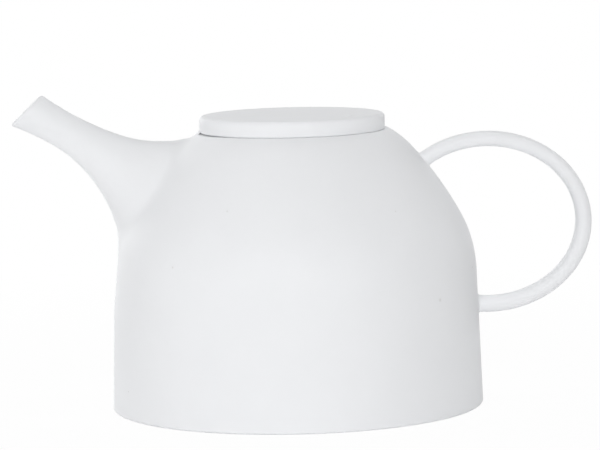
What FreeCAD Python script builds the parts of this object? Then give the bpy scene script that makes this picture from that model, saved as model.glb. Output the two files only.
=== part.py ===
import FreeCAD, Part
import math
import os

from FreeCAD import Vector

# Sizes in millimetres, angles in degrees. The pot stands on z = 0 with its axis on z,
# its spout towards -x and its handle towards +x.

# Body: a leaning wall, then three arcs that meet without a corner, their angles taken from upright
base_radius = 75.1
wall_height = 54.4
wall_angle = 1.8
shoulder_radius = 51.2
shoulder_end_angle = 28.3
flank_radius = 143.1
flank_end_angle = 41.3
crown_radius = 40.0
crown_end_angle = 59.5
wall_thickness = 4.0
floor_thickness = 5.0
floor_corner_radius = 10.0
foot_edge_radius = 3.0
foot_ring_width = 8.0
foot_recess_depth = 1.5

# Mouth and the flat seat round it, turned off the crown
crown_overrun_angle = 12.0
seat_width = 5.1
seat_edge_radius = 0.8
mouth_depth = 6.0
mouth_edge_radius = 1.0

# Lid: a flat disc that overhangs the mouth, with a ring under it and a steam vent
lid_inset = 1.6
lid_thickness = 6.5
lid_top_edge_radius = 1.6
lid_low_edge_radius = 1.3
flange_clearance = 0.6
flange_depth = 12.0
flange_thickness = 4.0
flange_edge_radius = 1.5
vent_radius = 1.3
vent_distance = 27.0
vent_angle = -31.0

# Spout: a gently arched bell, narrowest at the neck, with a raked lip
spout_foot_from_seat = 28.9
spout_tilt_angle = 2.2
spout_bend_radius = 450.0
spout_foot_to_neck = 40.7
spout_neck_to_lip = 17.1
spout_bell_radius = 21.1
spout_neck_radius = 7.3
spout_lip_radius = 8.4
spout_wall = 2.7
spout_lip_rake_angle = 16.4
spout_lip_flat = 0.3
spout_root_depth = 9.0
spout_blend_radius = 8.0

# Strainer: a pierced plate that fills the port in the wall behind the spout
strainer_radius = 16.0
strainer_thickness = 3.0
strainer_setback = 1.8
strainer_hole_radius = 1.7
strainer_hole_pitch = 5.8
strainer_hole_rings = 2

# Handle: a round rod on an ellipse whose ends run into the body
handle_rod_radius = 3.4
handle_half_width = 39.0
handle_half_height = 33.6
handle_centre_height = 72.9
handle_centre_offset = 4.7
handle_top_angle = 142.0
handle_low_angle = -118.0
handle_blend_radius = 1.4

# Height of the collar of slip left on the body where spout and handle join it
collar_height = 1.0

skin_tolerance = 0.001
axis = Vector(0, 0, 1)


def sloped(angle):
    """Unit vector in the pot's middle plane that climbs at this angle towards +x."""
    return Vector(math.cos(math.radians(angle)), 0, math.sin(math.radians(angle)))


def mirrored(vector):
    """Vector of the middle plane turned over to the spout's side."""
    return Vector(-vector.x, 0, vector.z)


def along_arc(start, radius, angle_from, angle_to):
    """End of a meridian arc that bends inwards from one angle to another."""
    return start + (sloped(angle_to) - sloped(angle_from)) * radius


wall_top = Vector(base_radius - wall_height * math.tan(math.radians(wall_angle)), 0, wall_height)
shoulder_top = along_arc(wall_top, shoulder_radius, wall_angle, shoulder_end_angle)
flank_top = along_arc(shoulder_top, flank_radius, shoulder_end_angle, flank_end_angle)
seat_edge = along_arc(flank_top, crown_radius, flank_end_angle, crown_end_angle)
crown_stop_angle = crown_end_angle + crown_overrun_angle
meridian = [
    (wall_top, shoulder_radius, wall_angle, shoulder_end_angle),
    (shoulder_top, flank_radius, shoulder_end_angle, flank_end_angle),
    (flank_top, crown_radius, flank_end_angle, crown_stop_angle),
]
seat_height = seat_edge.z
mouth_radius = seat_edge.x - seat_width
lid_radius = seat_edge.x - lid_inset
flange_radius = mouth_radius - flange_clearance
spout_length = spout_foot_to_neck + spout_neck_to_lip


def middle_of(edge):
    """Point half way along an edge."""
    return edge.valueAt((edge.FirstParameter + edge.LastParameter) / 2)


def circles(shape, radius, height):
    """Edges that run round the pot's axis at this radius and height."""
    found = []
    for edge in shape.Edges:
        points = (edge.valueAt(edge.FirstParameter), middle_of(edge))
        if all(point.isEqual(ring_point(point, radius, height), skin_tolerance) for point in points):
            found.append(edge)
    return found


def ring_point(point, radius, height):
    """Point of a circle round the pot's axis that lies on the same side as another point."""
    turn = math.atan2(point.y, point.x)
    return Vector(radius * math.cos(turn), radius * math.sin(turn), height)


def meridian_below_seat(distance):
    """Point and angle of the outside at a distance down its curve from the seat's edge."""
    ends = (shoulder_end_angle, flank_end_angle, crown_end_angle)
    for (start, radius, angle_from, _), angle_to in reversed(list(zip(meridian, ends))):
        angle = angle_to - math.degrees(distance / radius)
        if angle > angle_from:
            return along_arc(start, radius, angle_from, angle), angle
        distance -= radius * math.radians(angle_to - angle_from)


def meridian_arc(start, radius, angle_from, angle_to, offset):
    """Arc of the outside shape, moved out along its normal."""
    angles = (angle_from, (angle_from + angle_to) / 2, angle_to)
    points = [along_arc(start, radius, angle_from, angle) + sloped(angle) * offset for angle in angles]
    return Part.Arc(*points).toShape()


def dome(offset):
    """Solid dome with the outside shape of the body, its skin moved out by an offset."""
    arcs = [meridian_arc(*arc, offset) for arc in meridian]
    wall_end = wall_top + sloped(wall_angle) * offset
    wall_start = wall_end.x + (wall_end.z + offset) * math.tan(math.radians(wall_angle))
    crown_stop = arcs[-1].Vertexes[-1].Point
    corners = [
        crown_stop,
        Vector(0, 0, crown_stop.z),
        Vector(0, 0, -offset),
        Vector(wall_start, 0, -offset),
        wall_end,
    ]
    lines = [Part.makeLine(corners[i], corners[i + 1]) for i in range(len(corners) - 1)]
    half_section = Part.Face(Part.Wire(lines + arcs))
    half_section.rotate(Vector(), axis, 90)
    return half_section.revolve(Vector(), axis, 360)


def plain_body():
    """Outside of the body without spout and handle, its foot edge rounded."""
    shape = dome(0)
    return shape.makeFillet(foot_edge_radius, circles(shape, base_radius, 0))


def spout_foot():
    """Point where the spout's centre line meets the body, and the way out of the wall there."""
    place, angle = meridian_below_seat(spout_foot_from_seat)
    return mirrored(place), mirrored(sloped(angle))


def spout_station(distance):
    """Point on the spout's centre line at a distance from its foot, and the climb there."""
    place, angle = meridian_below_seat(spout_foot_from_seat)
    rise = angle + spout_tilt_angle
    climb = rise - math.degrees(distance / spout_bend_radius)
    swing = sloped(rise - 90) - sloped(climb - 90)
    return mirrored(place + swing * spout_bend_radius), climb


def spout_radius(distance, inset):
    """Radius of the spout, flaring as a parabola from the neck to the bell and to the lip."""
    from_neck = distance - spout_foot_to_neck
    if from_neck < 0:
        bend = (spout_bell_radius - spout_neck_radius) / spout_foot_to_neck ** 2
    else:
        bend = (spout_lip_radius - spout_neck_radius) / spout_neck_to_lip ** 2
    slope = 2 * bend * from_neck
    return spout_neck_radius + bend * from_neck ** 2 - inset * math.hypot(1, slope)


def spout_tube(inset):
    """Solid along the spout up to its raked lip, inside its skin by the inset."""
    sections = []
    steps = 10
    past_lip = spout_lip_radius
    for i in range(steps + 1):
        distance = -spout_root_depth + (spout_root_depth + spout_length + past_lip) * i / steps
        centre, climb = spout_station(distance)
        circle = Part.Wire(Part.makeCircle(spout_radius(distance, inset)))
        circle.rotate(Vector(), Vector(0, 1, 0), climb - 90)
        circle.translate(centre)
        sections.append(circle)
    tube = Part.makeLoft(sections, True, False)
    tip, normal = lip_plane()
    return tube.cut(Part.makeCylinder(spout_length, spout_length, tip, normal))


def lip_plane():
    """Centre and outward normal of the spout's lip."""
    tip, climb = spout_station(spout_length)
    return tip, mirrored(sloped(climb + spout_lip_rake_angle))


def handle_rod():
    """Rod swept round the handle's ellipse, its ends buried in the body."""
    turns = (handle_top_angle, (handle_top_angle + handle_low_angle) / 2, handle_low_angle)
    path = Part.Arc(*[sloped(turn) * handle_half_height for turn in turns]).toShape()
    stretch = FreeCAD.Matrix()
    stretch.scale(Vector(handle_half_width / handle_half_height, 1, 1))
    stretch.move(Vector(wall_top.x + handle_centre_offset, 0, handle_centre_height))
    path = path.transformGeometry(stretch).Edges[0]
    start = path.FirstParameter
    section = Part.makeCircle(handle_rod_radius, path.valueAt(start), path.tangentAt(start))
    return Part.Wire(path).makePipeShell([Part.Wire(section)], True, False)


def joint_edges(joined, first, second):
    """Edges of a joined shape that lie on the skins of both pieces."""
    found = []
    for edge in joined.Edges:
        middle = Part.Vertex(middle_of(edge))
        if max(middle.distToShape(piece.Shells[0])[0] for piece in (first, second)) < skin_tolerance:
            found.append(edge)
    return found


def blended(shape, piece, radius):
    """Two pieces joined with a smooth fillet of slip between them."""
    joined = shape.fuse(piece)
    return joined.makeFillet(radius, joint_edges(joined, shape, piece))


def port_cylinder(radius, low, high):
    """Cylinder through the wall behind the spout, square to the flank."""
    foot, outward = spout_foot()
    return Part.makeCylinder(radius, high - low, foot + outward * low, outward)


def make_body(outside):
    """Hollow body: cavity, mouth with rounded rims, spout port and recessed base."""
    ceiling = seat_height - mouth_depth
    room = Part.makeCylinder(base_radius, ceiling - floor_thickness, Vector(0, 0, floor_thickness))
    cavity = dome(-wall_thickness).common(room)
    corner = [edge for edge in cavity.Edges if edge.BoundBox.ZMax < floor_thickness + skin_tolerance]
    cavity = cavity.makeFillet(floor_corner_radius, [edge for edge in corner if len(edge.Vertexes) == 1])
    shape = outside.cut(cavity)
    shape = shape.cut(Part.makeCylinder(mouth_radius, 2 * mouth_depth, Vector(0, 0, ceiling - mouth_depth)))
    shape = shape.cut(port_cylinder(strainer_radius, -spout_root_depth, spout_root_depth))
    recess_radius = base_radius - foot_ring_width
    shape = shape.cut(Part.makeCone(recess_radius, recess_radius - foot_recess_depth, foot_recess_depth))
    shape = shape.makeFillet(seat_edge_radius, circles(shape, seat_edge.x, seat_height))
    rims = circles(shape, mouth_radius, seat_height) + circles(shape, mouth_radius, ceiling)
    return shape.makeFillet(mouth_edge_radius, rims)


def make_spout(outside):
    """Hollow spout with an even wall and a rounded lip."""
    shape = outside.cut(spout_tube(spout_wall))
    tip, normal = lip_plane()
    lip = Part.Plane(tip, normal).toShape()
    rim = []
    for edge in shape.Edges:
        points = (edge.valueAt(edge.FirstParameter), middle_of(edge))
        if max(Part.Vertex(point).distToShape(lip)[0] for point in points) < skin_tolerance:
            rim.append(edge)
    return shape.makeFillet((spout_wall - spout_lip_flat) / 2, rim)


def make_strainer():
    """Round plate with rings of straining holes."""
    low = -strainer_setback - strainer_thickness
    plate = port_cylinder(strainer_radius, low, -strainer_setback)
    drill = port_cylinder(strainer_hole_radius, 2 * low, 0)
    foot, outward = spout_foot()
    upward = Vector(0, 1, 0).cross(outward)
    drills = [drill]
    for ring in range(1, strainer_hole_rings + 1):
        for i in range(6 * ring):
            hole = drill.copy()
            hole.translate(upward * (ring * strainer_hole_pitch))
            hole.rotate(foot, outward, 60.0 * i / ring)
            drills.append(hole)
    return plate.cut(drills)


def make_lid_disc():
    """Flat lid with soft edges and the steam vent."""
    disc = Part.makeCylinder(lid_radius, lid_thickness, Vector(0, 0, seat_height))
    top = seat_height + lid_thickness
    disc = disc.makeFillet(lid_top_edge_radius, circles(disc, lid_radius, top))
    disc = disc.makeFillet(lid_low_edge_radius, circles(disc, lid_radius, seat_height))
    vent = Part.makeCylinder(vent_radius, lid_thickness, Vector(vent_distance, 0, seat_height))
    vent.rotate(Vector(), axis, vent_angle)
    return disc.cut(vent)


def make_lid_flange():
    """Ring under the lid that keeps it in the mouth."""
    low = seat_height - flange_depth
    ring = Part.makeCylinder(flange_radius, flange_depth, Vector(0, 0, low))
    inner_radius = flange_radius - flange_thickness
    ring = ring.cut(Part.makeCylinder(inner_radius, flange_depth, Vector(0, 0, low)))
    rims = circles(ring, flange_radius, low) + circles(ring, inner_radius, low)
    return ring.makeFillet(flange_edge_radius, rims)


def make_parts():
    """Every piece of the teapot by name, in place."""
    pot = plain_body()
    pot = blended(pot, spout_tube(0), spout_blend_radius)
    pot = blended(pot, handle_rod(), handle_blend_radius)
    above_seat = Part.makeCylinder(seat_edge.x + collar_height, seat_height, Vector(0, 0, seat_height))
    pot = pot.cut(above_seat)
    collar = dome(collar_height)
    outer = sorted(pot.cut(collar).Solids, key=lambda solid: solid.CenterOfMass.x)
    return {
        "body": make_body(pot.common(collar)),
        "spout": make_spout(outer[0]),
        "strainer": make_strainer(),
        "handle": outer[-1],
        "lid_disc": make_lid_disc(),
        "lid_flange": make_lid_flange(),
    }


os.makedirs("parts", exist_ok=True)
for name, shape in make_parts().items():
    print(name, "solids", len(shape.Solids), "volume", round(shape.Volume), "valid", shape.isValid())
    shape.exportStep("parts/" + name + ".step")
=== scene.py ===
import bpy
import math
import numpy as np
from mathutils import Matrix, Quaternion, Vector


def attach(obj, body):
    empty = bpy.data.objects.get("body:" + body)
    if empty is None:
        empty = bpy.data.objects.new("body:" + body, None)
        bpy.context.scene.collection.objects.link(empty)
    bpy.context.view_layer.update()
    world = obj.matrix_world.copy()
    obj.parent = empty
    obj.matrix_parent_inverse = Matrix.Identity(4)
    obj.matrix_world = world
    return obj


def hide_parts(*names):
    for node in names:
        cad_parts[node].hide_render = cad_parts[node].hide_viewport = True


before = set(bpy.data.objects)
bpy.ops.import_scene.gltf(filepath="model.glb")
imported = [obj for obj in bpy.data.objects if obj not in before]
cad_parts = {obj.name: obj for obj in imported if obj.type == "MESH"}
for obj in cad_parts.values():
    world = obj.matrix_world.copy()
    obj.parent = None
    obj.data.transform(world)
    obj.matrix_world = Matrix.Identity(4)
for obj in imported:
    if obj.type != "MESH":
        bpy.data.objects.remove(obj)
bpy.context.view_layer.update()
mm = 0.001  # pieces and finishes are in millimetres and degrees, the stage is in metres
print("frame loaded:", sorted(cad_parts))


# Node helpers

nodeGap = 190  # from node to node in the editor


def feed(tree, socket, value):  # links another node's output, or sets a plain value
    if isinstance(value, bpy.types.NodeSocket):
        tree.links.new(value, socket)
    else:
        socket.default_value = value


def addNode(tree, kind, place, feeds=None, **settings):
    node = tree.nodes.new(kind)
    node.location = (place[0] * nodeGap, -place[1] * nodeGap)
    for key, value in settings.items():
        setattr(node, key, value)
    for label, value in (feeds or {}).items():
        feed(tree, node.inputs[label], value)
    return node


def mathNode(tree, operation, place, *values):
    return addNode(tree, "ShaderNodeMath", place, dict(enumerate(values)), operation=operation).outputs[0]


def clamped(tree, place, value):  # kept between 0 and 1
    lifted = mathNode(tree, "MAXIMUM", place, value, 0.0)
    return mathNode(tree, "MINIMUM", (place[0] + 1, place[1]), lifted, 1.0)


def combined(tree, place, x, y, z):
    return addNode(tree, "ShaderNodeCombineXYZ", place, {"X": x, "Y": y, "Z": z}).outputs[0]


def separated(tree, place, vector):
    return addNode(tree, "ShaderNodeSeparateXYZ", place, {"Vector": vector}).outputs


def newGeometryTree(name, sizes):
    tree = bpy.data.node_groups.new(name, "GeometryNodeTree")
    for label, kind in {"Geometry": "Geometry", **sizes}.items():
        tree.interface.new_socket(label, in_out="INPUT", socket_type="NodeSocket" + kind)
    tree.interface.new_socket("Geometry", in_out="OUTPUT", socket_type="NodeSocketGeometry")
    return tree, addNode(tree, "NodeGroupInput", (-8, 0)).outputs


def closeTree(tree, geometry, finish):  # every tree ends the same way
    realize = addNode(tree, "GeometryNodeRealizeInstances", (6, 0), {"Geometry": geometry})
    smooth = addNode(tree, "GeometryNodeSetShadeSmooth", (7, 0), {"Geometry": realize.outputs["Geometry"]})
    paint = addNode(tree, "GeometryNodeSetMaterial", (8, 0),
                    {"Geometry": smooth.outputs["Geometry"], "Material": finish})
    addNode(tree, "NodeGroupOutput", (9, 0), {"Geometry": paint.outputs["Geometry"]})


# Mesh helpers

flatWeight = 90  # how far a large face outweighs the small faces of a rim


def newObject(name, data):
    thing = bpy.data.objects.new(name, data)
    bpy.context.scene.collection.objects.link(thing)
    return thing


def settle(piece):  # makes what the modifiers give a plain mesh
    bpy.context.view_layer.update()
    graph = bpy.context.evaluated_depsgraph_get()
    mesh = bpy.data.meshes.new_from_object(piece.evaluated_get(graph), depsgraph=graph)
    piece.modifiers.clear()
    old = piece.data
    piece.data = mesh
    bpy.data.meshes.remove(old)
    mesh.name = piece.name


def grown(piece, tree, values):  # runs a tree on a piece and keeps the result as a plain mesh
    modifier = piece.modifiers.new(tree.name, "NODES")
    modifier.node_group = tree
    for item in tree.interface.items_tree:
        if item.in_out == "INPUT" and item.name in values:
            modifier[item.identifier] = values[item.name]
    settle(piece)
    return piece


def sharpen(mesh, angle):  # edges sharper than the angle stay crisp, the rest shade smooth
    mesh.shade_smooth()
    mesh.set_sharp_from_angle(angle=math.radians(angle))


def evenNormals(piece):  # large flat faces keep their own shading beside the small faces of a rim
    modifier = piece.modifiers.new("even_normals", "WEIGHTED_NORMAL")
    modifier.keep_sharp = True
    modifier.weight = flatWeight
    settle(piece)


def faceOutwards(mesh):  # a closed skin with its faces the wrong way round has a negative volume
    mesh.calc_loop_triangles()
    corners = np.array([[mesh.vertices[v].co for v in t.vertices] for t in mesh.loop_triangles])
    volume = np.einsum("ij,ij->i", corners[:, 0], np.cross(corners[:, 1], corners[:, 2])).sum() / 6
    if volume < 0:
        mesh.flip_normals()
    print("  ", mesh.name, len(mesh.loop_triangles), "triangles,", round(abs(volume) * 1e6, 2), "ml")


# Ceramic finishes

bisqueLook = {
    "lightTone": (0.846, 0.855, 0.871, 1),
    "darkTone": (0.836, 0.845, 0.861, 1),
    "toneSize": 18.0,
    "roughLow": 0.58,
    "roughHigh": 0.72,
    "grainSize": 0.55,
    "grainDepth": 0.007,
    "waveSize": 42.0,
    "waveDepth": 0.05,
    "speckSpacing": 17.0,
    "speckRadius": 0.34,
    "speckShare": 0.35,
    "speckTone": (0.46, 0.45, 0.44, 1),
    "pits": [  # x, y, z and radius
        (56.5, -47.1, 47.4, 1.0),
        (-47.8, -54.2, 63.7, 0.6),
        (-25.9, -56.8, 85.4, 0.5),
        (39.7, -50.0, 83.1, 0.45),
    ],
    "pitDepth": 0.12,
    # painted shade: the grey the pinholes are coloured, standing in for the shade inside them
    "pitPaintedShade": (0.7, 0.7, 0.7, 1),
}

glazeLook = {
    "lightTone": (0.865, 0.863, 0.858, 1),
    "darkTone": (0.84, 0.838, 0.832, 1),
    "toneSize": 22.0,
    "roughLow": 0.1,
    "roughHigh": 0.18,
    "grainSize": 6.0,
    "grainDepth": 0.03,
    "waveSize": 42.0,
    "waveDepth": 0.08,
    "speckSpacing": 24.0,
    "speckRadius": 0.3,
    "speckShare": 0.3,
    "speckTone": (0.5, 0.47, 0.43, 1),
    "pits": [],
}

clayNoise = {  # the same for both finishes
    "toneDetail": 3.0,
    "toneSpan": (0.3, 0.7),
    "grainDetail": 5.0,
    "grainSpan": (0.25, 0.75),
    "waveDetail": 1.0,
    "speckCore": 0.5,
}


def noiseNode(tree, place, where, size, detail):
    feeds = {"Vector": where, "Scale": 1 / (size * mm), "Detail": detail}
    return addNode(tree, "ShaderNodeTexNoise", place, feeds).outputs["Fac"]


def mapped(tree, place, value, low, high, newLow, newHigh):
    feeds = {"Value": value, "From Min": low, "From Max": high, "To Min": newLow, "To Max": newHigh}
    return addNode(tree, "ShaderNodeMapRange", place, feeds).outputs["Result"]


def mixedColour(tree, place, share, first, second):
    feeds = {"Factor": share, 6: first, 7: second}  # sockets 6 and 7 are the two colours, output 2 their mix
    return addNode(tree, "ShaderNodeMix", place, feeds, data_type="RGBA").outputs[2]


def bumped(tree, place, height, depth, below=None):
    feeds = {"Strength": 1.0, "Distance": depth * mm, "Height": height}
    if below is not None:
        feeds["Normal"] = below
    return addNode(tree, "ShaderNodeBump", place, feeds).outputs["Normal"]


def specks(tree, where, look):  # iron specks, one in some of the cells
    feeds = {"Vector": where, "Scale": 1 / (look["speckSpacing"] * mm)}
    cells = addNode(tree, "ShaderNodeTexVoronoi", (-7, -1), feeds)
    reach = look["speckRadius"] / look["speckSpacing"]
    core = reach * clayNoise["speckCore"]
    dot = mapped(tree, (-6, -1), cells.outputs["Distance"], core, reach, 1.0, 0.0)
    red = addNode(tree, "ShaderNodeSeparateColor", (-6, -2), {"Color": cells.outputs["Color"]}).outputs[0]
    chosen = mathNode(tree, "LESS_THAN", (-5, -2), red, look["speckShare"])
    return mathNode(tree, "MULTIPLY", (-4, -1), dot, chosen)


def pinholes(tree, where, pits):  # small pits at given places, each with its radius
    deepest = None
    for i, (x, y, z, radius) in enumerate(pits):
        feeds = {0: where, 1: (x * mm, y * mm, z * mm)}
        away = addNode(tree, "ShaderNodeVectorMath", (-7, 7 + i), feeds, operation="DISTANCE")
        depth = mapped(tree, (-6, 7 + i), away.outputs["Value"], 0.0, radius * mm, 1.0, 0.0)
        deepest = depth if deepest is None else mathNode(tree, "MAXIMUM", (-5, 7 + i), deepest, depth)
    return deepest


def makeCeramic(name, look):
    material = bpy.data.materials.new(name)
    material.use_nodes = True
    tree = material.node_tree
    shader = tree.nodes["Principled BSDF"]
    where = addNode(tree, "ShaderNodeTexCoord", (-9, 0)).outputs["Object"]

    tone = noiseNode(tree, (-7, 1), where, look["toneSize"], clayNoise["toneDetail"])
    tone = mapped(tree, (-6, 1), tone, *clayNoise["toneSpan"], 0.0, 1.0)
    clay = mixedColour(tree, (-5, 1), tone, look["darkTone"], look["lightTone"])
    colour = mixedColour(tree, (-3, 1), specks(tree, where, look), clay, look["speckTone"])

    grain = noiseNode(tree, (-7, 3), where, look["grainSize"], clayNoise["grainDetail"])
    rough = mapped(tree, (-5, 3), grain, *clayNoise["grainSpan"], look["roughLow"], look["roughHigh"])
    wave = noiseNode(tree, (-7, 5), where, look["waveSize"], clayNoise["waveDetail"])
    wavy = bumped(tree, (-4, 5), wave, look["waveDepth"])
    fine = bumped(tree, (-3, 4), grain, look["grainDepth"], wavy)

    pitted = pinholes(tree, where, look["pits"])
    if pitted is not None:
        # painted shade: each pinhole is darkened in colour as well as dented by its bump
        colour = mixedColour(tree, (-2, 1), pitted, colour, look["pitPaintedShade"])
        fine = bumped(tree, (-2, 4), pitted, -look["pitDepth"], fine)
    feed(tree, shader.inputs["Base Color"], colour)
    feed(tree, shader.inputs["Roughness"], rough)
    feed(tree, shader.inputs["Normal"], fine)
    return material


bisque = makeCeramic("bisque_white", bisqueLook)
glaze = makeCeramic("clear_glaze", glazeLook)
print("finishes ready")


# Turned pieces: a half section in the x, z plane is turned round the z axis

weldDistance = 1e-6  # metres


def buildLatheTree():
    tree, given = newGeometryTree("turned_piece", {"Segments": "Int", "Finish": "Material"})
    curve = addNode(tree, "GeometryNodeMeshToCurve", (-6, 1), {"Mesh": given["Geometry"]}).outputs["Curve"]
    size = addNode(tree, "GeometryNodeAttributeDomainSize", (-5, 2), {"Geometry": curve}, component="CURVE")
    count = size.outputs["Point Count"]
    columns = mathNode(tree, "ADD", (-5, -1), given["Segments"], 1.0)
    grid = addNode(tree, "GeometryNodeMeshGrid", (-4, 0),
                   {"Size X": 1.0, "Size Y": 1.0, "Vertices X": columns, "Vertices Y": count})
    place = addNode(tree, "GeometryNodeInputPosition", (-5, 4)).outputs[0]
    across, along, _ = separated(tree, (-4, 4), place)
    turn = mathNode(tree, "MULTIPLY", (-3, 4), across, 2 * math.pi)
    lastPoint = mathNode(tree, "SUBTRACT", (-4, 3), count, 1.0)
    share = mathNode(tree, "ADD", (-3, 5), along, 0.5)
    step = mathNode(tree, "MULTIPLY", (-2, 5), share, lastPoint)
    step = mathNode(tree, "ROUND", (-1, 5), step)
    sample = addNode(tree, "GeometryNodeSampleIndex", (0, 3),
                     {"Geometry": curve, "Value": place, "Index": step},
                     data_type="FLOAT_VECTOR", domain="POINT")
    radius, _, height = separated(tree, (1, 3), sample.outputs["Value"])
    x = mathNode(tree, "MULTIPLY", (2, 4), radius, mathNode(tree, "COSINE", (1, 5), turn))
    y = mathNode(tree, "MULTIPLY", (2, 5), radius, mathNode(tree, "SINE", (1, 6), turn))
    shape = addNode(tree, "GeometryNodeSetPosition", (4, 0),
                    {"Geometry": grid.outputs["Mesh"], "Position": combined(tree, (3, 4), x, y, height)})
    weld = addNode(tree, "GeometryNodeMergeByDistance", (5, 0),
                   {"Geometry": shape.outputs["Geometry"], "Distance": weldDistance})
    closeTree(tree, weld.outputs["Geometry"], given["Finish"])
    return tree


latheTree = buildLatheTree()


def turned(name, section, segments, finish):
    mesh = bpy.data.meshes.new(name)
    points = [(r * mm, 0, z * mm) for r, z in section]
    mesh.from_pydata(points, [(i, i + 1) for i in range(len(points) - 1)], [])
    piece = grown(newObject(name, mesh), latheTree, {"Segments": segments, "Finish": finish})
    faceOutwards(piece.data)
    return piece


def slope(angle):  # unit step in the half section at an angle above the outward horizontal
    return np.array([math.cos(math.radians(angle)), math.sin(math.radians(angle))])


def arc(centre, radius, start, end, steps):
    turns = [start + (end - start) * i / steps for i in range(steps + 1)]
    return [tuple(np.array(centre) + slope(turn) * radius) for turn in turns]


def corner(before, at, after, radius, steps):  # round corner between two straight runs
    at = np.array(at, float)
    inward = [np.array(end, float) - at for end in (before, after)]
    inward = [way / np.linalg.norm(way) for way in inward]
    half = math.acos(float(np.clip(inward[0] @ inward[1], -1, 1))) / 2
    middle = inward[0] + inward[1]
    centre = at + middle / np.linalg.norm(middle) * radius / math.sin(half)
    touch = [at + way * radius / math.tan(half) - centre for way in inward]
    turns = [math.degrees(math.atan2(way[1], way[0])) for way in touch]
    sweep = (turns[1] - turns[0] + 180) % 360 - 180
    return arc(centre, radius, turns[0], turns[0] + sweep, steps)


def run(start, end, spacing, endGap=0.25):  # inner points of a straight run, with one close to each end
    start, end = np.array(start, float), np.array(end, float)
    length = np.linalg.norm(end - start)
    edge = min(endGap, length / 4)
    count = max(1, round(length / spacing))
    marks = [edge] + [length * i / count for i in range(1, count)] + [length - edge]
    return [tuple(start + (end - start) * mark / length) for mark in marks]


def discSection(radius, low, high, lowEdge, topEdge, steps, spacing):  # a flat disc with rounded edges
    lowRound = corner((0, low), (radius, low), (radius, high), lowEdge, steps)
    topRound = corner((radius, low), (radius, high), (0, high), topEdge, steps)
    points = [(0, low)] + run((0, low), lowRound[0], spacing) + lowRound
    points += run(lowRound[-1], topRound[0], spacing=1) + topRound
    return points + run(topRound[-1], (0, high), spacing) + [(0, high)]


# Body of the pot

body = {
    "baseRadius": 75.1,
    "wallHeight": 54.4,
    "wallAngle": 1.8,
    "shoulderRadius": 51.2,
    "shoulderEnd": 28.3,
    "flankRadius": 143.1,
    "flankEnd": 41.3,
    "crownRadius": 40.0,
    "crownEnd": 59.5,
    "wall": 4.0,
    "floor": 5.0,
    "floorCorner": 10.0,
    "footEdge": 1.0,
    "footRing": 8.0,
    "footRecess": 1.5,
    "footSoftness": 0.8,
    "seatWidth": 5.1,
    "seatEdge": 0.8,
    "mouthDepth": 6.0,
    "mouthEdge": 1.0,
    "ceilingCorner": 2.5,
    "crispAngle": 40.0,
    "segments": 224,
}

wallLean = math.tan(math.radians(body["wallAngle"]))
wallCosine = math.cos(math.radians(body["wallAngle"]))
wallTop = np.array([body["baseRadius"] - body["wallHeight"] * wallLean, body["wallHeight"]])
shoulderCentre = wallTop - slope(body["wallAngle"]) * body["shoulderRadius"]
shoulderTop = shoulderCentre + slope(body["shoulderEnd"]) * body["shoulderRadius"]
flankCentre = shoulderTop - slope(body["shoulderEnd"]) * body["flankRadius"]
flankTop = flankCentre + slope(body["flankEnd"]) * body["flankRadius"]
crownCentre = flankTop - slope(body["flankEnd"]) * body["crownRadius"]
seatCorner = crownCentre + slope(body["crownEnd"]) * body["crownRadius"]
seatHeight = seatCorner[1]
mouthRadius = seatCorner[0] - body["seatWidth"]


def footSection():  # from the middle of the recess to the top of the wall
    recessOut = body["baseRadius"] - body["footRing"]
    recessIn = recessOut - body["footRecess"]
    foot = body["footEdge"]
    footCentre = (body["baseRadius"] - foot * wallLean - foot / wallCosine, foot)
    hub = (0, body["footRecess"])
    step = (recessIn, body["footRecess"])
    ring = (recessOut, 0)
    ringEnd = (footCentre[0], 0)
    stepRound = corner(hub, step, ring, body["footSoftness"], steps=6)
    ringRound = corner(step, ring, ringEnd, body["footSoftness"], steps=6)
    footRound = arc(footCentre, foot, -90, body["wallAngle"], steps=12)
    points = [hub] + run(hub, stepRound[0], spacing=9) + stepRound + ringRound
    points += run(ringRound[-1], ringEnd, spacing=3) + footRound
    return points + run(footRound[-1], wallTop, spacing=5)


def crownRound(level, crownRadius, radius):  # centre of a round from crown to level, and its first angle
    turn = math.degrees(math.asin((level - radius - crownCentre[1]) / (crownRadius - radius)))
    return crownCentre + slope(turn) * (crownRadius - radius), turn


def domeSection(edgeGap=0.5):  # shoulder, flank and crown, up to the soft edge of the seat
    points = arc(shoulderCentre, body["shoulderRadius"], body["wallAngle"], body["shoulderEnd"], steps=12)
    points += arc(flankCentre, body["flankRadius"], body["shoulderEnd"], body["flankEnd"], steps=12)[1:]
    edgeCentre, turn = crownRound(seatHeight, body["crownRadius"], body["seatEdge"])
    points += arc(crownCentre, body["crownRadius"], body["flankEnd"], turn - edgeGap, steps=10)[1:]
    return points + arc(edgeCentre, body["seatEdge"], turn, 90, steps=5)


def mouthSection(start, ceiling):  # across the seat, down the mouth and round below it
    lip = body["mouthEdge"]
    lipRound = arc((mouthRadius + lip, seatHeight - lip), lip, 90, 180, steps=6)
    lowRound = arc((mouthRadius + lip, ceiling + lip), lip, 180, 270, steps=6)
    points = run(start, lipRound[0], spacing=2) + lipRound
    return points + run(lipRound[-1], lowRound[0], spacing=2) + lowRound


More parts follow.
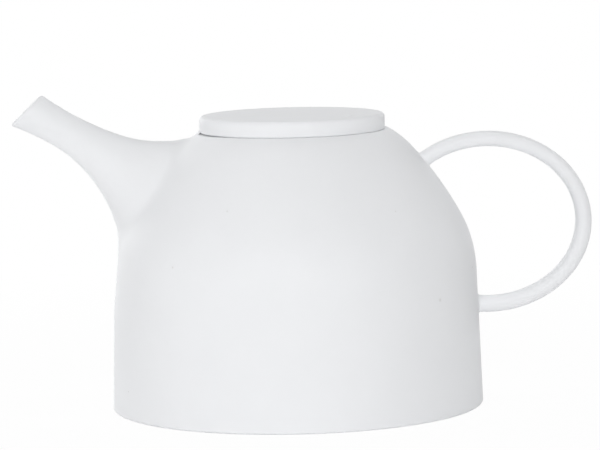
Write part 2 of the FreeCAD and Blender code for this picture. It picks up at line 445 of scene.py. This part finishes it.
def insideSection(start, ceiling):  # ceiling, inner dome, inner wall and floor
    shoulderRadius = body["shoulderRadius"] - body["wall"]
    flankRadius = body["flankRadius"] - body["wall"]
    crownRadius = body["crownRadius"] - body["wall"]
    soft = body["ceilingCorner"]
    softCentre, turn = crownRound(ceiling, crownRadius, soft)
    softRound = arc(softCentre, soft, 90, turn, steps=6)
    points = run(start, softRound[0], spacing=2) + softRound
    points += arc(crownCentre, crownRadius, turn, body["flankEnd"], steps=3)[1:]
    points += arc(flankCentre, flankRadius, body["flankEnd"], body["shoulderEnd"], steps=8)[1:]
    points += arc(shoulderCentre, shoulderRadius, body["shoulderEnd"], body["wallAngle"], steps=8)[1:]
    innerTop = wallTop - slope(body["wallAngle"]) * body["wall"]
    deep = body["floorCorner"]
    cornerHeight = body["floor"] + deep
    wallAtCorner = innerTop[0] + (innerTop[1] - cornerHeight) * wallLean
    cornerCentre = (wallAtCorner - deep / wallCosine, cornerHeight)
    cornerRound = arc(cornerCentre, deep, body["wallAngle"], -90, steps=10)
    middle = (0, body["floor"])
    points += run(innerTop, cornerRound[0], spacing=8) + cornerRound
    return points + run(cornerRound[-1], middle, spacing=12) + [middle]


def bodySection():
    ceiling = seatHeight - body["mouthDepth"]
    points = footSection() + domeSection()
    points += mouthSection(points[-1], ceiling)
    return points + insideSection(points[-1], ceiling)


def skinDistance(points):  # distance of points, in millimetres, outside the plain body's skin
    radius, height = np.hypot(points[..., 0], points[..., 1]), points[..., 2]
    place = np.stack([radius, height], -1)

    def fromCentre(centre):
        offset = place - centre
        return np.linalg.norm(offset, axis=-1), np.degrees(np.arctan2(offset[..., 1], offset[..., 0]))

    shoulder, shoulderTurn = fromCentre(shoulderCentre)
    flank, flankTurn = fromCentre(flankCentre)
    crown, _ = fromCentre(crownCentre)
    wall = (place - wallTop) @ slope(body["wallAngle"])
    distance = crown - body["crownRadius"]
    distance = np.where(flankTurn < body["flankEnd"], flank - body["flankRadius"], distance)
    distance = np.where(shoulderTurn < body["shoulderEnd"], shoulder - body["shoulderRadius"], distance)
    return np.where(shoulderTurn < body["wallAngle"], wall, distance)


def skinNormal(points, step=0.01):
    moves = np.eye(3) * step
    slopes = [skinDistance(points + move) - skinDistance(points - move) for move in moves]
    normal = np.stack(slopes, -1)
    return normal / np.linalg.norm(normal, axis=-1, keepdims=True)


pot = turned("pot_body", bodySection(), body["segments"], bisque)
print("body turned")


# Spout: a bell that arches out of the flank, its skirt smoothed on to the body

spout = {
    "footFromSeat": 28.9,
    "tilt": 2.2,
    "bend": 450.0,
    "footToNeck": 40.7,
    "neckToLip": 17.1,
    "bellRadius": 21.1,
    "neckRadius": 7.3,
    "lipRadius": 8.4,
    "wall": 2.7,
    "lipRake": 16.4,
    "lipRound": 1.3,
    "slipSoftTop": 6.0,
    "slipSoftSide": 1.9,
    "slipSoftLow": 5.0,
    "slipNarrowing": 4,
    "skirtTuck": 0.25,
    "crispAngle": 50.0,
    "columns": 144,
    "rows": 60,
    "rowCrowding": 0.75,
    "rowPower": 2.2,
    "lipRows": 10,
    "boreRows": 30,
    "lipSearch": 10.0,
    "seamSearch": 12.0,
    "skirtSearch": 14.0,
}

spoutLength = spout["footToNeck"] + spout["neckToLip"]


def flankPoint(distance):  # point of the flank and its angle, at a distance down the curve from the seat
    turn = body["crownEnd"] - math.degrees(distance / body["crownRadius"])
    if turn > body["flankEnd"]:
        return crownCentre + slope(turn) * body["crownRadius"], turn
    distance -= math.radians(body["crownEnd"] - body["flankEnd"]) * body["crownRadius"]
    turn = body["flankEnd"] - math.degrees(distance / body["flankRadius"])
    return flankCentre + slope(turn) * body["flankRadius"], turn


spoutFoot, spoutFootAngle = flankPoint(spout["footFromSeat"])
spoutRise = spoutFootAngle + spout["tilt"]
bendCentre = spoutFoot + slope(spoutRise - 90) * spout["bend"]


def spoutAxis(distance):  # centre, direction and upward normal of the spout at distances from its foot
    climb = np.radians(spoutRise) - np.asarray(distance) / spout["bend"]
    flat = np.zeros_like(climb)
    along = np.stack([-np.cos(climb), flat, np.sin(climb)], -1)
    upward = np.stack([np.sin(climb), flat, np.cos(climb)], -1)
    centre = np.array([-bendCentre[0], 0, bendCentre[1]]) + upward * spout["bend"]
    return centre, along, upward


def spoutRadius(distance):  # radius and its slope: a parabola each way from the neck
    fromNeck = np.asarray(distance) - spout["footToNeck"]
    bell = (spout["bellRadius"] - spout["neckRadius"]) / spout["footToNeck"] ** 2
    lip = (spout["lipRadius"] - spout["neckRadius"]) / spout["neckToLip"] ** 2
    bend = np.where(fromNeck < 0, bell, lip)
    return spout["neckRadius"] + bend * fromNeck ** 2, 2 * bend * fromNeck


def spoutSkin(distance, turn, inset):  # points and outward normals, inside the spout's skin by the inset
    centre, along, upward = spoutAxis(distance)
    radius, flare = spoutRadius(distance)
    sideways = np.broadcast_to(np.array([0.0, 1.0, 0.0]), upward.shape)
    outward = upward * np.cos(turn)[..., None] + sideways * np.sin(turn)[..., None]
    normal = outward - along * flare[..., None]
    normal = normal / np.linalg.norm(normal, axis=-1, keepdims=True)
    return centre + outward * radius[..., None] - normal * inset, normal


def firstRoot(measure, low, high, halvings=40):  # halves the interval, for all columns at once
    for _ in range(halvings):
        middle = (low + high) / 2
        below = measure(middle) < 0
        low, high = np.where(below, middle, low), np.where(below, high, middle)
    return (low + high) / 2


def smoothedSkirt(points, normals, softness, rounds=6, leastFacing=0.3):  # moves points on to a soft blend
    rise = np.zeros(points.shape[:-1])  # how far along its normal each point meets the body's skin
    for _ in range(rounds):
        reached = points + normals * rise[..., None]
        facing = np.einsum("...i,...i", normals, skinNormal(reached))
        rise = rise - skinDistance(reached) / np.maximum(facing, leastFacing)
    soft = (rise + softness) ** 2 / (4 * softness)
    lifted = np.where(rise > softness, rise, np.where(rise < -softness, 0, soft))
    return points + normals * lifted[..., None], rise


def slipSoftness(turn):  # how wide the slip is smoothed out, all round the seam
    ends = np.where(np.cos(turn) > 0, spout["slipSoftTop"], spout["slipSoftLow"])
    return spout["slipSoftSide"] + (ends - spout["slipSoftSide"]) * np.cos(turn) ** spout["slipNarrowing"]


def spoutLipEnd(turn, inset):  # distance along the spout at which its skin meets the raked lip plane
    tip, along, upward = spoutAxis(spoutLength)
    rake = math.radians(spout["lipRake"])
    normal = along * math.cos(rake) + upward * math.sin(rake)
    return firstRoot(
        lambda s: (spoutSkin(s, turn, inset)[0] - tip) @ normal,
        np.full_like(turn, spoutLength - spout["lipSearch"]),
        np.full_like(turn, spoutLength + spout["lipSearch"]),
    )


def spoutSeam(turn, inset, depth):  # distance along the spout at which it is this deep in the body's skin
    span = np.full_like(turn, spout["seamSearch"])
    return firstRoot(lambda s: skinDistance(spoutSkin(s, turn, inset)[0]) + depth, -span, span)


def skirtRings(turn, lipOut):  # from where the blend has died away on the body, out to the lip
    softness = slipSoftness(turn)
    seam = spoutSeam(turn, 0, 0)
    reach = firstRoot(
        lambda s: softness - smoothedSkirt(*spoutSkin(s, turn, 0), softness)[1],
        seam - spout["skirtSearch"], seam,
    )
    crowding = spout["rowCrowding"]  # rows lie closer at the skirt
    share = np.linspace(0, 1, spout["rows"])
    share = (1 - crowding) * share + crowding * share ** spout["rowPower"]
    skins = [spoutSkin(reach + (lipOut - reach) * mark, turn, 0) for mark in share]
    return [smoothedSkirt(*skin, softness)[0] for skin in skins]


def lipRings(turn, lipOut, lipIn):  # half an ellipse from the outer skin to the bore
    outer = spoutSkin(lipOut, turn, 0)[0]
    inner = spoutSkin(lipIn, turn, spout["wall"])[0]
    middle, half = (outer + inner) / 2, (outer - inner) / 2
    crest = spoutAxis((lipOut + lipIn) / 2)[1] * spout["lipRound"]
    swings = [math.pi * i / spout["lipRows"] for i in range(1, spout["lipRows"])]
    return [middle + half * math.cos(swing) + crest * math.sin(swing) for swing in swings]


def boreRings(turn, lipIn):
    boreEnd = spoutSeam(turn, spout["wall"], spout["skirtTuck"])
    marks = np.linspace(0, 1, spout["boreRows"])
    return [spoutSkin(lipIn + (boreEnd - lipIn) * mark, turn, spout["wall"])[0] for mark in marks]


def gridFaces(rows, columns):  # quads of a closed tube, ring after ring
    faces = []
    for i in range(rows):
        for j in range(columns):
            a, b = i * columns + j, i * columns + (j + 1) % columns
            low = ((i + 1) % rows) * columns
            faces.append((a, b, low + (j + 1) % columns, low + j))
    return faces


def buildSpout():
    columns = spout["columns"]
    turn = np.arange(columns) * 2 * math.pi / columns
    lipOut = spoutLipEnd(turn, 0) - spout["lipRound"]
    lipIn = spoutLipEnd(turn, spout["wall"]) - spout["lipRound"]
    rings = skirtRings(turn, lipOut) + lipRings(turn, lipOut, lipIn) + boreRings(turn, lipIn)
    rings.append(rings[0] - skinNormal(rings[0]) * spout["skirtTuck"])  # hidden below the body's skin
    mesh = bpy.data.meshes.new("pot_spout")
    places = np.concatenate(rings) * mm
    mesh.from_pydata(places.tolist(), [], gridFaces(len(rings), columns))
    mesh.materials.append(bisque)
    piece = newObject("pot_spout", mesh)
    faceOutwards(mesh)
    sharpen(mesh, spout["crispAngle"])
    return piece


spoutPiece = buildSpout()
print("spout blended")


# Holes: a cutter is set out in rings round a point and cut from a piece

drill = {
    "overlap": 0.02,  # the rim ends just past the faces, so that no face is shared
    "overshoot": 1.0,
    "flareSteps": 5,
}


def ringPlaces(tree, order, pitch):  # one hole in the middle, then rings of six, twelve and so on
    nudge = 0.001  # keeps the last hole of a ring in its ring
    inside = mathNode(tree, "MULTIPLY_ADD", (-5, 4), order, 12.0, 9.0)  # ring k ends at hole 3 k (k + 1)
    root = mathNode(tree, "SQRT", (-4, 4), inside)
    ring = mathNode(tree, "MULTIPLY_ADD", (-3, 4), root, 1 / 6, -0.5)
    ring = mathNode(tree, "SUBTRACT", (-2, 4), ring, nudge)
    ring = mathNode(tree, "CEIL", (-1, 4), ring)
    before = mathNode(tree, "SUBTRACT", (-1, 5), ring, 1.0)
    before = mathNode(tree, "MULTIPLY", (0, 5), before, ring)
    before = mathNode(tree, "MULTIPLY_ADD", (1, 5), before, 3.0, 1.0)  # holes in the rings before this one
    inRing = mathNode(tree, "SUBTRACT", (2, 5), order, before)
    atLeastOne = mathNode(tree, "MAXIMUM", (1, 6), ring, 1.0)
    turn = mathNode(tree, "DIVIDE", (3, 5), inRing, atLeastOne)
    turn = mathNode(tree, "MULTIPLY", (4, 5), turn, math.pi / 3)
    away = mathNode(tree, "MULTIPLY", (2, 4), ring, pitch)
    x = mathNode(tree, "MULTIPLY", (6, 4), away, mathNode(tree, "COSINE", (5, 5), turn))
    y = mathNode(tree, "MULTIPLY", (6, 5), away, mathNode(tree, "SINE", (5, 6), turn))
    return combined(tree, (7, 4), x, y, 0.0)


def buildPierceTree():
    tree, given = newGeometryTree("pierced_piece", {
        "Cutter": "Object", "Rings": "Int", "Pitch": "Float", "Place": "Vector", "Turn": "Vector",
        "Finish": "Material",
    })
    order = addNode(tree, "GeometryNodeInputIndex", (-6, 4)).outputs[0]
    nextRing = mathNode(tree, "ADD", (-7, 1), given["Rings"], 1.0)
    pairs = mathNode(tree, "MULTIPLY", (-6, 1), given["Rings"], nextRing)
    total = mathNode(tree, "MULTIPLY_ADD", (-5, 1), pairs, 3.0, 1.0)
    points = addNode(tree, "GeometryNodePoints", (-3, 1),
                     {"Count": total, "Position": ringPlaces(tree, order, given["Pitch"])})
    cutter = addNode(tree, "GeometryNodeObjectInfo", (-3, 2), {"Object": given["Cutter"]})
    drills = addNode(tree, "GeometryNodeInstanceOnPoints", (-1, 1),
                     {"Points": points.outputs[0], "Instance": cutter.outputs["Geometry"]})
    drillSet = addNode(tree, "GeometryNodeRealizeInstances", (0, 1),
                       {"Geometry": drills.outputs["Instances"]})
    aim = addNode(tree, "GeometryNodeTransform", (1, 1), {
        "Geometry": drillSet.outputs["Geometry"], "Translation": given["Place"], "Rotation": given["Turn"],
    })
    cut = addNode(tree, "GeometryNodeMeshBoolean", (3, 0), operation="DIFFERENCE", solver="EXACT")
    feed(tree, cut.inputs["Mesh 1"], given["Geometry"])
    feed(tree, cut.inputs["Mesh 2"], aim.outputs["Geometry"])
    closeTree(tree, cut.outputs["Mesh"], given["Finish"])
    return tree


pierceTree = buildPierceTree()


def pierced(piece, cutter, place, turn, finish, rings=0, pitch=0.0):
    grown(piece, pierceTree, {
        "Cutter": cutter, "Rings": rings, "Pitch": pitch * mm, "Place": place, "Turn": turn,
        "Finish": finish,
    })
    bpy.data.objects.remove(cutter)


def holeCutter(radius, depth, flare, segments):  # cutter along z, a flare widens it at both faces
    half = depth / 2 + drill["overlap"]
    end = half + drill["overshoot"]
    section = [(0, -end), (radius + flare, -end)]
    if flare:
        section += arc((radius + flare, -half + flare), flare, 270, 180, drill["flareSteps"])
        section += arc((radius + flare, half - flare), flare, 180, 90, drill["flareSteps"])
    section += [(radius + flare, end), (0, end)]
    return turned("cutter", section, segments, bisque)


# Strainer in the port behind the spout

strainer = {
    "radius": 16.0,
    "thickness": 3.0,
    "setback": 1.8,
    "edge": 0.5,
    "holeRadius": 1.7,
    "holePitch": 5.8,
    "holeRings": 2,
    "holeFlare": 0.35,
    "clearance": 0.02,
    "portCut": 26.0,
    "crispAngle": 40.0,
    "segments": 96,
    "holeSegments": 32,
}

portWay = np.array([-slope(spoutFootAngle)[0], 0, slope(spoutFootAngle)[1]])
portFoot = np.array([-spoutFoot[0], 0, spoutFoot[1]])
portTurn = (0.0, math.radians(spoutFootAngle - 90), 0.0)  # from upright to square with the flank


def buildStrainer():
    radius = strainer["radius"] - strainer["clearance"]
    half = strainer["thickness"] / 2
    section = discSection(radius, -half, half, strainer["edge"], strainer["edge"], steps=4, spacing=4)
    piece = turned("spout_strainer", section, strainer["segments"], glaze)
    cutter = holeCutter(strainer["holeRadius"], strainer["thickness"], strainer["holeFlare"],
                        strainer["holeSegments"])
    pierced(piece, cutter, (0, 0, 0), (0, 0, 0), glaze, strainer["holeRings"], strainer["holePitch"])
    middle = (portFoot - portWay * (strainer["setback"] + half)) * mm
    piece.data.transform(Matrix.Translation(middle) @ Matrix.Rotation(portTurn[1], 4, "Y"))
    sharpen(piece.data, strainer["crispAngle"])
    evenNormals(piece)
    return piece


strainerPiece = buildStrainer()
portCutter = holeCutter(strainer["radius"], strainer["portCut"], 0, strainer["segments"])
pierced(pot, portCutter, tuple(portFoot * mm), portTurn, bisque)
sharpen(pot.data, body["crispAngle"])
print("port cut and strainer pierced")


def glazeInside(piece, wallSlack=0.3, floorSlack=0.1):  # a clear glaze inside the pot and in its mouth
    piece.data.materials.append(glaze)
    edge = mouthRadius + body["mouthEdge"]
    for face in piece.data.polygons:
        x, y, z = (value / mm for value in face.center)
        deepInside = skinDistance(np.array([x, y, z])) < -body["wall"] + wallSlack
        inMouth = math.hypot(x, y) < edge and z > body["floor"]
        if z > body["floor"] - floorSlack and (deepInside or inMouth):
            face.material_index = 1


glazeInside(pot)


# The wall and the seat gave way a little where the spout was pressed on

presses = [  # at and spread: radius, height and degrees behind the spout's plane, move: outwards and up
    {"at": (40.8, 111.0, 18.0), "spread": (1.9, 5.0, 28.0), "move": (0.0, -1.2)},
    {"at": (44.0, 109.5, 10.0), "spread": (2.6, 5.0, 25.0), "move": (0.0, -0.4)},
    {"at": (37.0, 112.5, -26.0), "spread": (1.6, 2.5, 11.0), "move": (0.0, -0.35)},
    {"at": (48.5, 109.0, 0.0), "spread": (3.5, 4.0, 12.0), "move": (0.0, 0.5)},
    {"at": (63.0, 111.0, 0.0), "spread": (6.5, 6.0, 13.0), "move": (0.0, -0.6)},
    {"at": (81.0, 118.0, 0.0), "spread": (4.5, 5.0, 10.0), "move": (0.0, 0.3)},
    {"at": (72.5, 57.5, 0.0), "spread": (9.0, 7.0, 16.0), "move": (-1.15, 0.0)},
    {"at": (73.0, 75.0, 0.0), "spread": (6.0, 3.5, 11.0), "move": (0.35, 0.0)},
]


def pressIn(piece, leastRadius=0.001):
    mesh = piece.data
    flat = np.empty(len(mesh.vertices) * 3)
    mesh.vertices.foreach_get("co", flat)
    points = flat.reshape(-1, 3) / mm
    radius = np.hypot(points[:, 0], points[:, 1])
    turn = np.degrees(np.arctan2(points[:, 1], -points[:, 0]))
    outward = points[:, :2] / np.maximum(radius, leastRadius)[:, None]
    moved = points.copy()
    for press in presses:
        away = ((radius - press["at"][0]) / press["spread"][0]) ** 2
        away += ((points[:, 2] - press["at"][1]) / press["spread"][1]) ** 2
        away += ((turn - press["at"][2]) / press["spread"][2]) ** 2
        share = np.exp(-0.5 * away)
        moved[:, :2] += outward * (share * press["move"][0])[:, None]
        moved[:, 2] += share * press["move"][1]
    mesh.vertices.foreach_set("co", (moved * mm).ravel())
    mesh.update()


pressIn(pot)
pressIn(spoutPiece)
print("spout pressed on")


# Handle: a round rod bent to an ellipse, thickened a little where it is stuck on

handle = {
    "rodRadius": 3.4,
    "halfWidth": 39.0,
    "halfHeight": 33.6,
    "centreHeight": 72.9,
    "centreOffset": 4.7,
    "topAngle": 133.5,
    "lowAngle": -100.0,
    "slipFillet": 0.9,
    "topThinning": 0.3,
    "thinningRate": 1.4,
    "thinningAtMiddle": 0.35,
    "crispAngle": 60.0,
    "steps": 420,
    "sides": 48,
}


def bentRod(tree, given):  # an arc stretched to an ellipse, with a round section along it
    path = addNode(tree, "GeometryNodeCurveArc", (-6, 2), {
        "Resolution": given["Steps"], "Radius": 1.0,
        "Start Angle": given["Start"], "Sweep Angle": given["Sweep"],
    })
    place = addNode(tree, "GeometryNodeInputPosition", (-6, 4)).outputs[0]
    across, along, _ = separated(tree, (-5, 4), place)
    x = mathNode(tree, "MULTIPLY", (-4, 4), across, given["Half Width"])
    z = mathNode(tree, "MULTIPLY", (-4, 5), along, given["Half Height"])
    stretched = addNode(tree, "GeometryNodeSetPosition", (-4, 2), {
        "Geometry": path.outputs["Curve"], "Position": combined(tree, (-3, 4), x, 0.0, z),
        "Offset": given["Centre"],
    })
    ring = addNode(tree, "GeometryNodeCurvePrimitiveCircle", (-4, 3), mode="RADIUS")
    feed(tree, ring.inputs["Resolution"], given["Sides"])
    feed(tree, ring.inputs["Radius"], given["Rod Radius"])
    rod = addNode(tree, "GeometryNodeCurveToMesh", (-2, 2), {
        "Curve": stretched.outputs["Geometry"], "Profile Curve": ring.outputs["Curve"], "Fill Caps": True,
    })
    return rod.outputs["Mesh"]


def slipSwell(tree, given, here):  # how much the rod swells close to the body's skin
    wall = addNode(tree, "GeometryNodeObjectInfo", (-4, 0), {"Object": given["Body"]}).outputs["Geometry"]
    near = addNode(tree, "GeometryNodeProximity", (-2, 0), {0: wall}, target_element="FACES")
    normal = addNode(tree, "GeometryNodeInputNormal", (-3, -2)).outputs[0]
    facing = addNode(tree, "GeometryNodeSampleNearestSurface", (-2, -2), {"Mesh": wall, "Value": normal},
                     data_type="FLOAT_VECTOR")
    offset = addNode(tree, "ShaderNodeVectorMath", (-1, -1), {0: here, 1: near.outputs["Position"]},
                     operation="SUBTRACT")
    outside = addNode(tree, "ShaderNodeVectorMath", (0, -1),
                      {0: offset.outputs[0], 1: facing.outputs["Value"]}, operation="DOT_PRODUCT")
    away = mathNode(tree, "DIVIDE", (1, -1), outside.outputs["Value"], given["Fillet"])
    closeness = clamped(tree, (2, -2), mathNode(tree, "SUBTRACT", (2, -1), 1.0, away))
    square = mathNode(tree, "MULTIPLY", (4, -1), closeness, closeness)
    fall = mathNode(tree, "SQRT", (5, -2), mathNode(tree, "SUBTRACT", (4, -2), 1.0, square))
    swell = mathNode(tree, "SUBTRACT", (6, -2), 1.0, fall)  # a quarter round
    return mathNode(tree, "MULTIPLY", (7, -2), swell, given["Fillet"])


def topThinning(tree, given, here):  # the rod thins from below the middle upwards
    _, _, height = separated(tree, (0, -4), here)
    _, _, middle = separated(tree, (0, -5), given["Centre"])
    above = mathNode(tree, "SUBTRACT", (1, -4), height, middle)
    share = mathNode(tree, "DIVIDE", (2, -4), above, given["Half Height"])
    share = mathNode(tree, "MULTIPLY_ADD", (3, -4), share, handle["thinningRate"],
                     handle["thinningAtMiddle"])
    return mathNode(tree, "MULTIPLY", (6, -4), clamped(tree, (4, -4), share), given["Top Thinning"])


def buildHandleTree():
    tree, given = newGeometryTree("ring_handle", {
        "Body": "Object", "Rod Radius": "Float", "Top Thinning": "Float", "Fillet": "Float",
        "Half Width": "Float", "Half Height": "Float", "Centre": "Vector", "Start": "Float",
        "Sweep": "Float", "Steps": "Int", "Sides": "Int", "Finish": "Material",
    })
    rod = bentRod(tree, given)
    here = addNode(tree, "GeometryNodeInputPosition", (-2, -3)).outputs[0]
    swell = mathNode(tree, "SUBTRACT", (8, -2), slipSwell(tree, given, here), topThinning(tree, given, here))
    skin = addNode(tree, "GeometryNodeInputNormal", (2, 2)).outputs[0]
    push = addNode(tree, "ShaderNodeVectorMath", (4, 2), {0: skin, "Scale": swell}, operation="SCALE")
    grow = addNode(tree, "GeometryNodeSetPosition", (5, 1), {"Geometry": rod, "Offset": push.outputs[0]})
    closeTree(tree, grow.outputs["Geometry"], given["Finish"])
    return tree


handleTree = buildHandleTree()


def buildHandle():
    piece = newObject("pot_handle", bpy.data.meshes.new("pot_handle"))
    start = math.radians(handle["lowAngle"])
    grown(piece, handleTree, {
        "Body": pot,
        "Rod Radius": handle["rodRadius"] * mm,
        "Top Thinning": handle["topThinning"] * mm,
        "Fillet": handle["slipFillet"] * mm,
        "Half Width": handle["halfWidth"] * mm,
        "Half Height": handle["halfHeight"] * mm,
        "Centre": ((wallTop[0] + handle["centreOffset"]) * mm, 0.0, handle["centreHeight"] * mm),
        "Start": start,
        "Sweep": math.radians(handle["topAngle"]) - start,
        "Steps": handle["steps"],
        "Sides": handle["sides"],
        "Finish": bisque,
    })
    faceOutwards(piece.data)
    sharpen(piece.data, handle["crispAngle"])
    return piece


handlePiece = buildHandle()
print("handle swept")


# Lid: flat disc with soft edges, a vent, and the ring that keeps it in the mouth

lid = {
    "inset": 1.6,
    "thickness": 6.5,
    "topEdge": 1.6,
    "lowEdge": 0.6,
    "flangeClearance": 0.6,
    "flangeDepth": 12.0,
    "flangeThickness": 4.0,
    "flangeEdge": 1.5,
    "ventRadius": 1.3,
    "ventFlare": 0.65,
    "ventDistance": 27.0,
    "ventAngle": -31.0,
    "crispAngle": 40.0,
    "segments": 224,
    "ventSegments": 32,
}

lidRadius = seatCorner[0] - lid["inset"]
flangeRadius = mouthRadius - lid["flangeClearance"]


def buildLid():
    low, high = seatHeight, seatHeight + lid["thickness"]
    section = discSection(lidRadius, low, high, lid["lowEdge"], lid["topEdge"], steps=8, spacing=6)
    piece = turned("lid_plate", section, lid["segments"], bisque)
    turn = math.radians(lid["ventAngle"])
    place = Vector((math.cos(turn), math.sin(turn), 0)) * lid["ventDistance"] * mm
    place.z = (low + high) / 2 * mm
    cutter = holeCutter(lid["ventRadius"], lid["thickness"], lid["ventFlare"], lid["ventSegments"])
    pierced(piece, cutter, place, (0, 0, 0), bisque)
    sharpen(piece.data, lid["crispAngle"])
    evenNormals(piece)
    return piece


def buildFlange():
    low = seatHeight - lid["flangeDepth"]
    outTop = (flangeRadius, seatHeight)
    inTop = (flangeRadius - lid["flangeThickness"], seatHeight)
    outFoot = (outTop[0], low)
    inFoot = (inTop[0], low)
    outLow = corner(outTop, outFoot, inFoot, lid["flangeEdge"], steps=6)
    inLow = corner(outFoot, inFoot, inTop, lid["flangeEdge"], steps=6)
    section = [outTop] + run(outTop, outLow[0], spacing=3) + outLow
    section += run(outLow[-1], inLow[0], spacing=1) + inLow
    section += run(inLow[-1], inTop, spacing=3) + [inTop, outTop]
    piece = turned("lid_ring", section, lid["segments"], bisque)
    sharpen(piece.data, lid["crispAngle"])
    return piece


lidPiece = buildLid()
flangePiece = buildFlange()
print("lid turned and vented")


# Stage, light and camera

stage = {
    "floorSize": 8.0,
    "floorTone": (0.98, 0.98, 0.98, 1),
    "whiteShare": 0.96,
    "shadowReach": 0.15,
    "whiteFrom": 0.45,
    "worldTone": (1.0, 1.0, 1.0, 1),
    "worldStrength": 0.12,
    "lampSize": 0.8,
    "lampTarget": (0.0, 0.0, 0.06),
}

lamps = [
    {"name": "key_front", "place": (0.0, -1.576, 0.328), "power": 13.0},
    {"name": "key_left", "place": (-0.788, -1.365, 0.328), "power": 0.8},
    {"name": "side_left", "place": (-1.576, 0.0, 0.328), "power": 5.9},
    {"name": "fill_right", "place": (1.135, -0.655, 0.968), "power": 1.6},
    {"name": "rim_right", "place": (1.365, 0.788, 0.328), "power": 4.4},
    {"name": "rim_left", "place": (-0.788, 1.365, 0.328), "power": 8.5},
    {"name": "top_back", "place": (0.0, 0.8, 1.436), "power": 4.7},
    {"name": "top", "place": (0.0, -0.139, 1.644), "power": 5.5},
]

camera = {
    "place": (0.0023, -1.41386, 0.23084),
    "target": (0.0023, 0.0, 0.07312),
    "roll": -1.3588,
    "lens": 210.81,
    "sensor": 36.0,
}


def seenDirectly(tree, place):  # 1 for rays that should see plain white
    rays = addNode(tree, "ShaderNodeLightPath", place).outputs
    column, row = place
    seen = mathNode(tree, "MAXIMUM", (column + 1, row), rays["Is Camera Ray"], rays["Is Glossy Ray"])
    return mathNode(tree, "MAXIMUM", (column + 2, row), seen, rays["Is Transmission Ray"])


def mixShaders(tree, place, share, lit, white, end):
    mix = addNode(tree, "ShaderNodeMixShader", place, {0: share, 1: lit.outputs[0], 2: white.outputs[0]})
    feed(tree, tree.nodes[end].inputs["Surface"], mix.outputs[0])


def buildFloor():
    half = stage["floorSize"] / 2
    corners = [(-half, -half, 0), (half, -half, 0), (half, half, 0), (-half, half, 0)]
    mesh = bpy.data.meshes.new("floor")
    mesh.from_pydata(corners, [], [(0, 1, 2, 3)])
    floor = newObject("floor", mesh)
    material = bpy.data.materials.new("studio_floor")
    material.use_nodes = True
    tree = material.node_tree
    tree.nodes.remove(tree.nodes["Principled BSDF"])
    matt = addNode(tree, "ShaderNodeBsdfDiffuse", (-3, 0), {"Color": stage["floorTone"]})
    white = addNode(tree, "ShaderNodeEmission", (-3, 2))
    where = addNode(tree, "ShaderNodeTexCoord", (-8, -4)).outputs["Object"]
    away = addNode(tree, "ShaderNodeVectorMath", (-7, -4), {0: where}, operation="LENGTH")
    fade = mapped(tree, (-6, -4), away.outputs["Value"], stage["shadowReach"], stage["whiteFrom"],
                  stage["whiteShare"], 1.0)  # only the floor close by shows the shadow
    share = mathNode(tree, "MULTIPLY", (-2, -2), seenDirectly(tree, (-6, -2)), fade)
    mixShaders(tree, (-1, 0), share, matt, white, "Material Output")
    mesh.materials.append(material)


def buildWorld():
    world = bpy.data.worlds.new("studio")
    bpy.context.scene.world = world
    world.use_nodes = True
    tree = world.node_tree
    soft = tree.nodes["Background"]
    soft.inputs["Color"].default_value = stage["worldTone"]
    soft.inputs["Strength"].default_value = stage["worldStrength"]
    white = addNode(tree, "ShaderNodeBackground", (-2, 2), {"Color": (1, 1, 1, 1)})
    mixShaders(tree, (2, 0), seenDirectly(tree, (-4, -2)), soft, white, "World Output")


def lookingAt(place, target):
    return (Vector(target) - Vector(place)).to_track_quat("-Z", "Y")


def buildLamps():
    for values in lamps:
        light = bpy.data.lights.new(values["name"], "AREA")
        light.shape = "DISK"
        light.size = stage["lampSize"]
        light.energy = values["power"]
        lamp = newObject(values["name"], light)
        lamp.location = values["place"]
        lamp.rotation_mode = "QUATERNION"
        lamp.rotation_quaternion = lookingAt(values["place"], stage["lampTarget"])
        lamp.visible_camera = False


def buildCamera():
    data = bpy.data.cameras.new("photo_view")
    data.lens = camera["lens"]
    data.sensor_width = camera["sensor"]
    view = newObject("photo_view", data)
    view.location = camera["place"]
    view.rotation_mode = "QUATERNION"
    roll = Quaternion((0, 0, 1), math.radians(camera["roll"]))
    view.rotation_quaternion = lookingAt(camera["place"], camera["target"]) @ roll
    bpy.context.scene.camera = view


buildFloor()
buildWorld()
buildLamps()
buildCamera()
bpy.context.scene.view_settings.view_transform = "Standard"
print("stage set")


# Pieces on their bodies

for piece, node, rider, finish in (
    (pot, "body", "pot", "matt_ceramic"),
    (spoutPiece, "spout", "pot", "matt_ceramic"),
    (strainerPiece, "strainer", "pot", "glazed_ceramic"),
    (handlePiece, "handle", "pot", "matt_ceramic"),
    (lidPiece, "lid_disc", "lid", "matt_ceramic"),
    (flangePiece, "lid_flange", "lid", "matt_ceramic"),
):
    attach(piece, rider)
    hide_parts(node)
